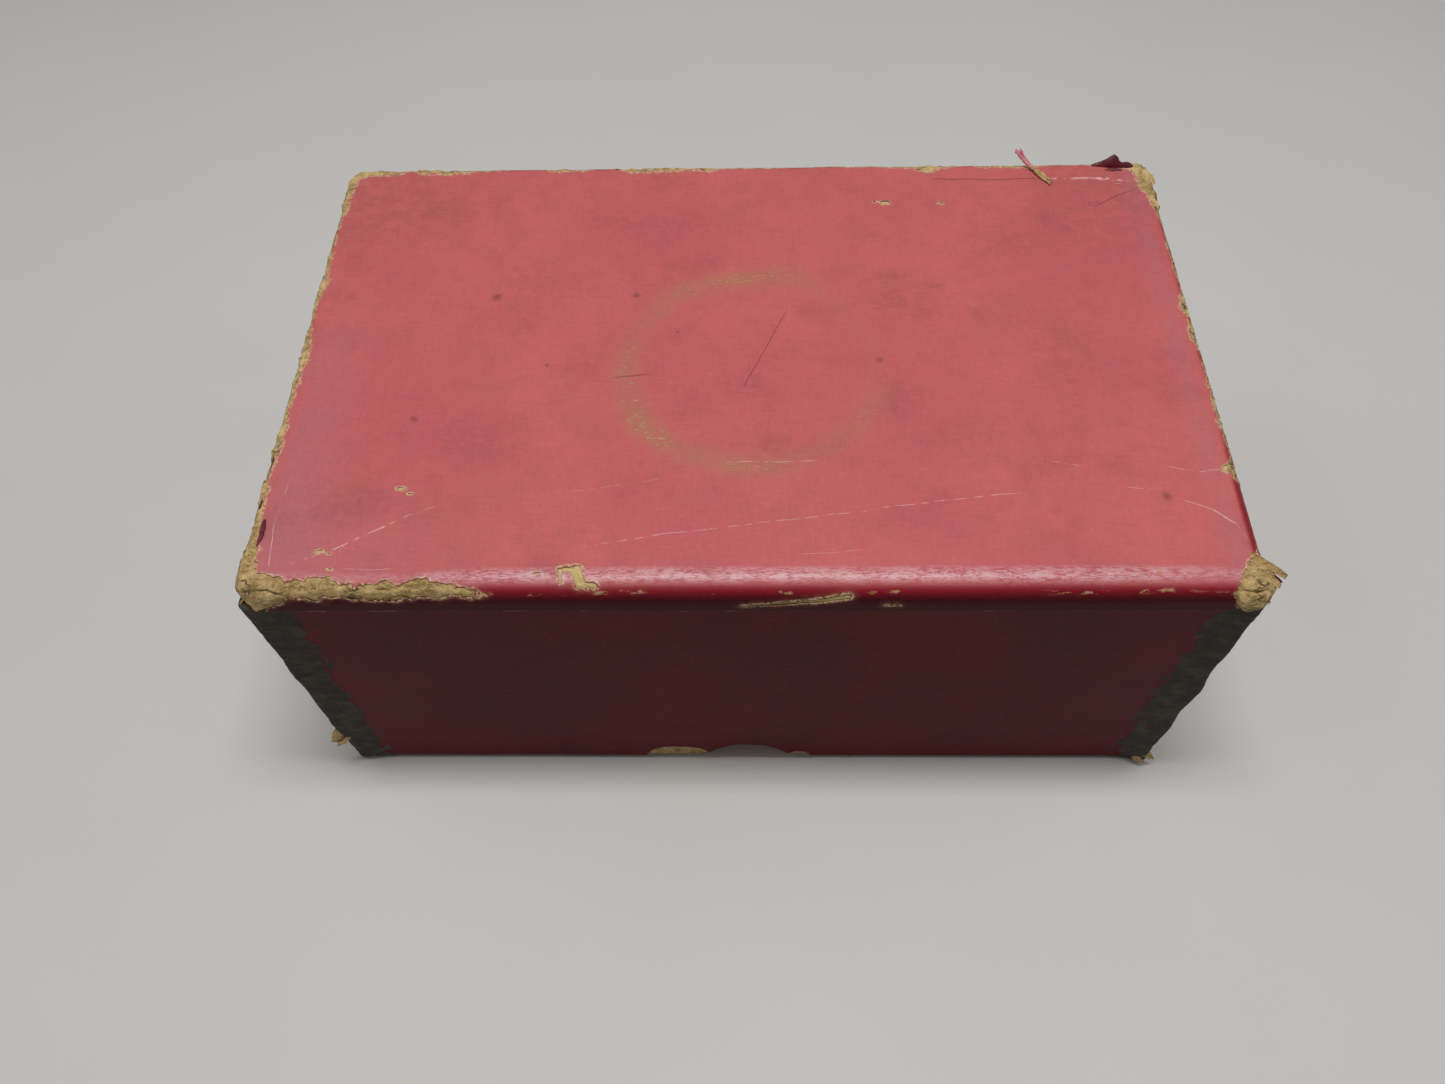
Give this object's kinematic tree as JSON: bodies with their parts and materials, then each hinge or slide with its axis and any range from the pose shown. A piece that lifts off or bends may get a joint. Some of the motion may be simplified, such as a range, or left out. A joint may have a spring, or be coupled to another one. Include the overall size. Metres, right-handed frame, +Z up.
{
  "type": "jewellery case",
  "caption": "Rectangular covered-board jewellery case with a deep slip-over lid, thumb notches and a lift-out ring tray.",
  "frame": {"origin": "middle of the underside", "axes": "+X along the case's width, +Y from the front to the back, +Z up"},
  "size_m": [0.178, 0.11, 0.076],
  "materials": {
    "red_covering": "satin",
    "pulp_board": "matte",
    "stay_tape": "matte",
    "lining_paper": "matte",
    "base_paper": "satin",
    "plain_card": "matte",
    "tray_card": "matte",
    "lid_satin": "satin",
    "velvet": "matte",
    "ribbon": "satin"
  },
  "bodies": {
    "base": {"base_bottom_board": "pulp_board", "base_front_board": "pulp_board", "base_back_board": "pulp_board", "base_left_board": "pulp_board", "base_right_board": "pulp_board", "base_corner_stays": "stay_tape", "base_wall_cover": "base_paper", "base_bottom_cover": "base_paper", "base_lining": "lining_paper", "base_floor_card": "lining_paper", "tray_rest_front": "plain_card", "tray_rest_back": "plain_card", "tray_rest_left": "plain_card", "tray_rest_right": "plain_card"},
    "lid": {"lid_top_board": "pulp_board", "lid_front_board": "pulp_board", "lid_back_board": "pulp_board", "lid_left_board": "pulp_board", "lid_right_board": "pulp_board", "lid_corner_stays": "stay_tape", "lid_top_cover": "red_covering", "lid_front_cover": "red_covering", "lid_back_cover": "red_covering", "lid_left_cover": "red_covering", "lid_right_cover": "red_covering", "lid_lining": "lining_paper", "lid_pad_card": "plain_card", "lid_pad": "lid_satin"},
    "tray": {"tray_bottom_board": "tray_card", "tray_front_wall": "tray_card", "tray_back_wall": "tray_card", "tray_left_wall": "tray_card", "tray_right_wall": "tray_card", "tray_cross_divider": "tray_card", "tray_long_divider": "tray_card", "ring_roll_bed": "velvet", "ring_roll_1": "velvet", "ring_roll_2": "velvet", "ring_roll_3": "velvet", "ring_roll_4": "velvet", "ring_roll_5": "velvet", "ring_roll_6": "velvet", "compartment_pad_front": "velvet", "compartment_pad_back": "velvet", "ribbon_pull_left": "ribbon", "ribbon_pull_right": "ribbon"}
  },
  "joints": [
    {"name": "lid_lift", "type": "slide", "parent": "base", "child": "lid", "axis": [0, 0, 1], "range_m": [0, 0.2]},
    {"name": "tray_lift", "type": "slide", "parent": "base", "child": "tray", "axis": [0, 0, 1], "range_m": [0, 0.054]}
  ],
  "couplings": [
    {"joint": "tray_lift", "follows": "lid_lift", "ratio": 0.27}
  ]
}
